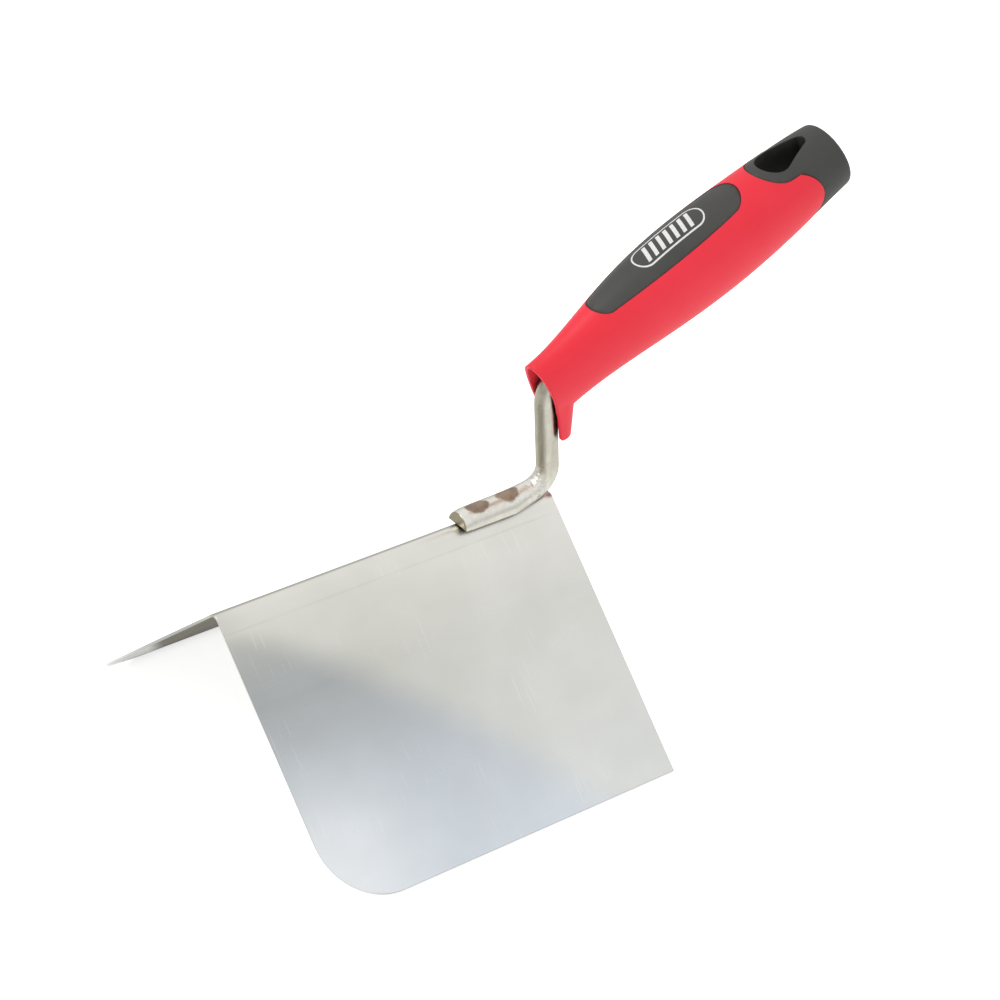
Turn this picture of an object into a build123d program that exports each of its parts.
from build123d import *
import os
from math import cos, radians, sin, sqrt, tan

# Outside-corner trowel: a folded sheet blade, a bent rod tang spot-welded along the fold,
# and a handle made of a rigid core with a soft sleeve moulded over it.
#
# Frame: X runs along the fold, from the toe (-X) to the handle (+X). Y is across the fold, Z is up.
# Origin: the sharp inside corner of the fold at its heel end, where the edge of a wall sits.

# ---- Blade -------------------------------------------------------------------------------------
BLADE_LENGTH = 120.0
WING_WIDTH = 91.5       # from the sharp outside corner of the fold to the long edge
SHEET = 0.9
FOLD_ANGLE = 94.0       # between the two wings
FOLD_RADIUS = 3.0       # on the outside
TOE_RADIUS = 21.0       # outer corner of each wing at the toe
EDGE_BREAK = 0.2        # deburred sheet edges

HALF_FOLD = radians(FOLD_ANGLE / 2)
RIDGE_Z = SHEET / sin(HALF_FOLD)                                # sharp outside corner
CREST_Z = RIDGE_Z - FOLD_RADIUS * (1 / sin(HALF_FOLD) - 1)      # top of the rounded fold

# ---- Tang --------------------------------------------------------------------------------------
ROD = 6.9
# Foot, pressed to a half-round section: position along the fold, width and height
FOOT_TOE = (-34.6, 8.7, 4.0)
FOOT_NOSE = (-32.0, 9.0, 4.6)
FOOT_PRESSED = (-15.5, 9.0, 5.0)
MIDDLE_ROUNDNESS = 0.3  # halfway from the end of the pressed stretch to the heel bend
FOOT_ROUND_ANGLE = 50.0 # the rod is round again this far into the heel bend
HEEL_ROUNDNESS = ((0.0, 0.66), (0.4, 0.87), (1.0, 1.0))     # share of that angle, and roundness there
FOOT_EDGE = 0.45        # rounded edges of the free end
HEEL_BEND = 6.0         # bend radii, on the centre line of the rod
NECK_BEND = 8.0
HEEL_CORNER_X = -0.8    # where the centre lines of foot and riser would meet
RISER_LENGTH = 34.8     # corner to corner
RISER_LEAN = 7.2        # degrees from vertical, towards the toe
TANG_REACH = 78.0       # how far the rod runs into the handle
FLAT_WIDTH = 8.8        # pressed stretch that stops the handle turning
FLAT_THICKNESS = 4.9
FLAT_LENGTH = 14.0
FLAT_START = 30.0
FLAT_EDGE = 0.1         # half the straight part of its narrow sides

# ---- Spot welds --------------------------------------------------------------------------------
WELD_X = (-27.7, -16.5)
WELD_DIAMETER = 3.8
WELD_INTO_FOOT = 1.6
WELD_INTO_BLADE = 0.65

# ---- Handle ------------------------------------------------------------------------------------
HANDLE_TILT = 26.0      # handle axis above the fold
HANDLE_FRONT = -5.6     # the raw body starts here and is trimmed to the mouth
HANDLE_END = 115.2
TAIL_RIM = 1.8          # rounding of the tail end
SLEEVE_WALL = 2.0
CORE_DROP = 0.15        # the exposed core lies this far below the sleeve
CORE_FRONT = 6.9

# Sections of the handle body along its axis: station, height of the centre, half height, half width
NECK = (HANDLE_FRONT, -1.1, 12.0, 6.35)
THROAT = (12.9, 0.3, 11.5, 7.3)
SHOULDER = (34.4, 1.4, 13.9, 10.4)
BELLY = (60.4, 0.6, 15.4, 12.4)
WAIST = (88.4, -0.6, 14.15, 12.0)
TAIL = (HANDLE_END, -1.6, 11.1, 10.4)
SECTIONS = (NECK, THROAT, SHOULDER, BELLY, WAIST, TAIL)

# Thumb panel of the core, seen from above
PANEL_START, PANEL_END = 22.4, 80.9
PANEL_FRONT_HALF, PANEL_MID_HALF, PANEL_REAR_HALF = 5.6, 7.8, 6.9
PANEL_ROUND = 5.4

# Tail: hanging hole, the collar of core around it, and the tongues of the sleeve beside it
HOLE_FRONT_X, HOLE_FRONT_RADIUS = 96.0, 5.6
HOLE_REAR_X, HOLE_REAR_RADIUS = 106.1, 2.3
COLLAR_X, COLLAR_RADIUS = 95.4, 8.4
TONGUE_X, TONGUE_RADIUS = 93.4, 9.6

# Mouth and finger guard
MOUTH_TOP = -2.6        # station of the lip at the top of the mouth
MOUTH_MIDDLE = -1.6     # station of the rim halfway down
MOUTH_MIDDLE_HEIGHT = 0.8
MOUTH_LIP = 1.0         # thickness left at the rim by the flared mouth
FLARE_START, FLARE_END = -2.8, 2.9
MOUTH_HALF_WIDTH = 3.8  # of the open throat behind the flare
MOUTH_HALF_HEIGHT = 7.9
GUARD_RADIUS = 5.5
GUARD_BACK = 4.35       # centre of the guard's round back, behind the top corner of the rod
GUARD_HOLLOW_RADIUS = 4.4
GUARD_HOLLOW_BACK = 3.35
GUARD_LIP = 1.85        # top of its front edge, behind the same corner
GUARD_TIP = 3.15        # bottom of its front edge
GUARD_LIP_DROP = 9.0
GUARD_DROP = 17.3       # its lower end, below the same corner
GUARD_TIP_RADIUS = 1.7
GUARD_END_ROUND = 0.8

SPAN = 60.0             # longer than any cut has to reach


def top_corner():
    """Point where the centre lines of the riser and the handle meet, as (x, z)."""
    lean = radians(RISER_LEAN)
    foot_axis_z = CREST_Z + ROD / 2
    return (HEEL_CORNER_X - RISER_LENGTH * sin(lean), foot_axis_z + RISER_LENGTH * cos(lean))


CORNER_X, CORNER_Z = top_corner()
TILT = radians(HANDLE_TILT)
AXIS = Vector(cos(TILT), 0, sin(TILT))       # along the handle, towards the tail
RISE = Vector(-sin(TILT), 0, cos(TILT))      # across the handle, upwards
CORNER = Vector(CORNER_X, 0, CORNER_Z)
ACROSS = Plane(CORNER, x_dir=(0, 1, 0), z_dir=AXIS)     # local (y, height)
PLAN = Plane(CORNER, x_dir=AXIS, z_dir=RISE)            # local (station, y)
SIDE = Plane(CORNER, x_dir=AXIS, z_dir=(0, -1, 0))      # local (station, height)


# ---- Blade -------------------------------------------------------------------------------------
def wing_point(side, along, depth):
    """Point across the fold: along a wing from the sharp outside corner, depth below its outer face."""
    return (side * (along * sin(HALF_FOLD) - depth * cos(HALF_FOLD)),
            RIDGE_Z - along * cos(HALF_FOLD) - depth * sin(HALF_FOLD))


def make_blade():
    outline = Polyline(wing_point(-1, WING_WIDTH, 0), (0, RIDGE_Z), wing_point(1, WING_WIDTH, 0),
                       wing_point(1, WING_WIDTH, SHEET), (0, 0), wing_point(-1, WING_WIDTH, SHEET),
                       close=True)
    profile = make_face(outline)
    outer = profile.vertices().sort_by(Axis.Y)[-1]
    profile = fillet(outer, FOLD_RADIUS)
    inner = profile.vertices().sort_by_distance((0, 0, 0))[0]
    profile = fillet(inner, FOLD_RADIUS - SHEET)
    blade = extrude(Plane.YZ * profile, -BLADE_LENGTH)
    toe_corners = [nearest_edge(blade, toe_corner(side)) for side in (-1, 1)]
    blade = fillet(toe_corners, TOE_RADIUS)
    rims = [edge for edge in blade.edges() if not runs_along_fold_inside(edge)]
    return fillet(rims, EDGE_BREAK) - make_spot_welds()


def toe_corner(side):
    y, z = wing_point(side, WING_WIDTH, SHEET / 2)
    return Vector(-BLADE_LENGTH, y, z)


def nearest_edge(shape, point):
    return shape.edges().sort_by(lambda edge: (edge.center() - point).length)[0]


def runs_along_fold_inside(edge):
    """The tangent lines of the fold and the short square corners of the sheet stay as they are."""
    near_fold = abs(edge.center().Y) < 2 * FOLD_RADIUS and edge.length > BLADE_LENGTH / 2
    return near_fold or edge.length < SHEET * 1.5


# ---- Tang --------------------------------------------------------------------------------------
def crest_plane(x):
    """Plane across the fold, with its origin on the crest."""
    return Plane((x, 0, CREST_Z), x_dir=(0, 1, 0), z_dir=(1, 0, 0))


def heel_plane(bend_start, angle):
    """Plane across the rod in the heel bend, with its origin on the outside of the bend."""
    turn, reach = radians(angle), HEEL_BEND + ROD / 2
    origin = (bend_start + reach * sin(turn), 0, CREST_Z + reach * (1 - cos(turn)))
    return Plane(origin, x_dir=(0, 1, 0), z_dir=(cos(turn), 0, sin(turn)))


def foot_section(plane, width, height, roundness=0.0):
    """Section of the rod: an arch on a flat at roundness 0, a full circle at roundness 1."""
    half = width / 2 + (ROD / 4 - width / 2) * roundness
    top = height + (ROD - height) * roundness
    rise = (ROD / 2 - sqrt(ROD ** 2 / 4 - ROD ** 2 / 16)) * roundness
    arch = ThreePointArc((-half, rise), (0, top), (half, rise))
    low = ThreePointArc((half, rise), (0, 0), (-half, rise)) if roundness else Line((half, 0), (-half, 0))
    return plane * make_face(arch + low)


def make_foot(bend_start):
    """Half-round foot on the crest of the fold, turning round again towards the heel bend."""
    toe, nose, pressed = [foot_section(crest_plane(x), width, height)
                          for x, width, height in (FOOT_TOE, FOOT_NOSE, FOOT_PRESSED)]
    tip = loft([toe, nose])
    tip = fillet(tip.faces().sort_by(Axis.X)[0].edges(), FOOT_EDGE)
    pressed_x, width, height = FOOT_PRESSED
    middle = foot_section(crest_plane((pressed_x + bend_start) / 2), width, height, MIDDLE_ROUNDNESS)
    turning = [foot_section(heel_plane(bend_start, part * FOOT_ROUND_ANGLE), width, height, roundness)
               for part, roundness in HEEL_ROUNDNESS]
    return tip + loft([nose, pressed]) + loft([pressed, middle, turning[0]]) + loft(turning)


def make_tang():
    turn = 90 + RISER_LEAN
    heel_reach = HEEL_BEND * tan(radians(turn / 2))
    neck_turn = turn - HANDLE_TILT
    neck_reach = NECK_BEND * tan(radians(neck_turn / 2))
    bend_start = HEEL_CORNER_X - heel_reach
    plane = heel_plane(bend_start, FOOT_ROUND_ANGLE)
    begin, angle = plane.from_local_coords(Vector(0, ROD / 2, 0)), radians(FOOT_ROUND_ANGLE)
    heel = JernArc((begin.X, begin.Z), (cos(angle), sin(angle)), HEEL_BEND, turn - FOOT_ROUND_ANGLE)
    riser = PolarLine(heel @ 1, RISER_LENGTH - heel_reach - neck_reach, turn)
    neck = JernArc(riser @ 1, riser % 1, NECK_BEND, -neck_turn)
    buried = PolarLine(neck @ 1, TANG_REACH - neck_reach, HANDLE_TILT)
    rod = sweep(foot_section(plane, ROD, ROD, 1), Plane.XZ * (heel + riser + neck + buried))
    return make_foot(bend_start) + rod + make_tang_flat() - make_spot_welds()


def make_tang_flat():
    """Stretch of the rod that is pressed flat inside the handle."""
    rounding = FLAT_THICKNESS / 2 - FLAT_EDGE
    section = ACROSS.offset(FLAT_START) * RectangleRounded(FLAT_WIDTH, FLAT_THICKNESS, rounding)
    return extrude(section, FLAT_LENGTH)


# ---- Spot welds --------------------------------------------------------------------------------
def make_spot_welds():
    depth = WELD_INTO_FOOT + WELD_INTO_BLADE
    z = CREST_Z + (WELD_INTO_FOOT - WELD_INTO_BLADE) / 2
    return Compound([Pos(x, 0, z) * Cylinder(WELD_DIAMETER / 2, depth) for x in WELD_X])


# ---- Handle ------------------------------------------------------------------------------------
def handle_body(inset):
    """The whole handle form, shrunk all round by inset."""
    rings = [ACROSS.offset(station) * Pos(0, rise) * Ellipse(half_width - inset, half_height - inset)
             for station, rise, half_height, half_width in SECTIONS]
    return loft(rings)


def round_tail(body):
    return fillet(nearest_edge(body, CORNER + AXIS * HANDLE_END), TAIL_RIM)


def trim(body, start, end=SPAN * 3):
    """The stretch of a body between two stations on the handle axis."""
    length = end - start
    block = ACROSS.offset(start + length / 2) * Box(SPAN, SPAN * 2, length)
    return body & block


def panel_prism():
    """Upright prism with the outline of the thumb panel, above the middle of the handle."""
    front, rear = PANEL_START + PANEL_ROUND, PANEL_END - PANEL_ROUND
    middle = (front + rear) / 2
    side = Spline((front, -PANEL_FRONT_HALF), (middle, -PANEL_MID_HALF), (rear, -PANEL_REAR_HALF))
    other = Spline((rear, PANEL_REAR_HALF), (middle, PANEL_MID_HALF), (front, PANEL_FRONT_HALF))
    rear_end = ThreePointArc(side @ 1, (PANEL_END, 0), other @ 0)
    front_end = ThreePointArc(other @ 1, (PANEL_START, 0), side @ 0)
    return extrude(PLAN * make_face(side + rear_end + other + front_end), SPAN)


def hanging_hole():
    """Drop-shaped hole straight through the tail."""
    front = Pos(HOLE_FRONT_X, 0) * Circle(HOLE_FRONT_RADIUS)
    rear = Pos(HOLE_REAR_X, 0) * Circle(HOLE_REAR_RADIUS)
    outline = make_hull((front + rear).edges())
    return extrude(PLAN * outline, SPAN, both=True)


def tail_zone():
    """Space in which the core shows at the tail: a collar round the hole and all behind the tongues."""
    reach = SPAN
    collar = Pos(COLLAR_X, 0) * Circle(COLLAR_RADIUS)
    collar += Pos(COLLAR_X + reach / 2, 0) * Rectangle(reach, 2 * COLLAR_RADIUS)
    collar = extrude(PLAN * collar, SPAN, both=True)
    behind = Pos(TONGUE_X + reach / 2, 0) * Rectangle(reach, SPAN) - Pos(TONGUE_X, 0) * Circle(TONGUE_RADIUS)
    return collar + extrude(SIDE * behind, SPAN, both=True)


def guard_column(radius, back, front, bottom):
    """Upright half-tube behind the riser: round at the back, straight sides towards the front."""
    back_x, front_x = CORNER_X + back, CORNER_X + front
    outline = Pos(back_x, 0) * Circle(radius)
    outline += Pos((back_x + front_x) / 2, 0) * Rectangle(back_x - front_x, 2 * radius)
    outline -= Pos(front_x - SPAN / 2, 0) * Rectangle(SPAN, SPAN)
    return Pos(0, 0, bottom) * extrude(outline, CORNER_Z - bottom)


def guard_edge(behind, drop):
    """Point on the front edge of the guard, as (station, height) on the handle."""
    local = SIDE.to_local_coords(Vector(CORNER_X + behind, 0, CORNER_Z - drop))
    return (local.X, local.Y)


def mouth_cut():
    """Everything in front of the curved rim of the mouth and the front edge of the guard."""
    top = (MOUTH_TOP, SPAN / 4)
    lip = guard_edge(GUARD_LIP, GUARD_LIP_DROP)
    rim = ThreePointArc(top, (MOUTH_MIDDLE, MOUTH_MIDDLE_HEIGHT), lip)
    radius, inset = GUARD_TIP_RADIUS, GUARD_TIP_RADIUS * (1 - sqrt(0.5))
    tip_start = guard_edge(GUARD_TIP, GUARD_DROP - radius)
    tip_middle = guard_edge(GUARD_TIP + inset, GUARD_DROP - inset)
    tip_end = guard_edge(GUARD_TIP + radius, GUARD_DROP)
    below = guard_edge(GUARD_TIP + radius, SPAN)
    edges = rim + Line(lip, tip_start) + ThreePointArc(tip_start, tip_middle, tip_end)
    edges += Polyline(tip_end, below, (-SPAN, below[1]), (-SPAN, top[1]), top)
    return extrude(SIDE * make_face(edges), SPAN, both=True)


def mouth_hollow():
    """Open space around the neck of the tang: flared at the rim, then an oval throat, open downwards."""
    _, rise, half_height, half_width = NECK
    rim = ACROSS.offset(FLARE_START) * Pos(0, rise) * Ellipse(half_width - MOUTH_LIP, half_height - MOUTH_LIP)
    throat = ACROSS.offset(FLARE_END) * Pos(0, rise) * Ellipse(MOUTH_HALF_WIDTH, MOUTH_HALF_HEIGHT)
    hollow = loft([rim, throat], ruled=True) + extrude(throat, CORE_FRONT - FLARE_END)
    return hollow + guard_column(GUARD_HOLLOW_RADIUS, GUARD_HOLLOW_BACK, -GUARD_RADIUS,
                                 CORNER_Z - GUARD_DROP - 1)


def make_sleeve():
    bottom = CORNER_Z - GUARD_DROP
    guard = guard_column(GUARD_RADIUS, GUARD_BACK, -GUARD_RADIUS, bottom)
    back = Vector(CORNER_X + GUARD_BACK + GUARD_RADIUS, 0, bottom)
    guard = fillet(nearest_edge(guard, back), GUARD_END_ROUND)
    sleeve = handle_body(0) + guard - mouth_cut() - mouth_hollow()
    sleeve -= trim(handle_body(SLEEVE_WALL), CORE_FRONT)
    return sleeve - panel_prism() - tail_zone()


def make_core():
    hidden = trim(handle_body(SLEEVE_WALL), CORE_FRONT)
    shown = round_tail(handle_body(CORE_DROP))
    core = hidden + (shown & panel_prism()) + (shown & tail_zone())
    return core - hanging_hole() - make_tang()


# ---- Export ------------------------------------------------------------------------------------
def main():
    os.makedirs("parts", exist_ok=True)
    nodes = {
        "blade": make_blade(),
        "tang": make_tang(),
        "spot_welds": make_spot_welds(),
        "handle_core": make_core(),
        "grip_sleeve": make_sleeve(),
    }
    for name, shape in nodes.items():
        export_step(shape, f"parts/{name}.step")


main()
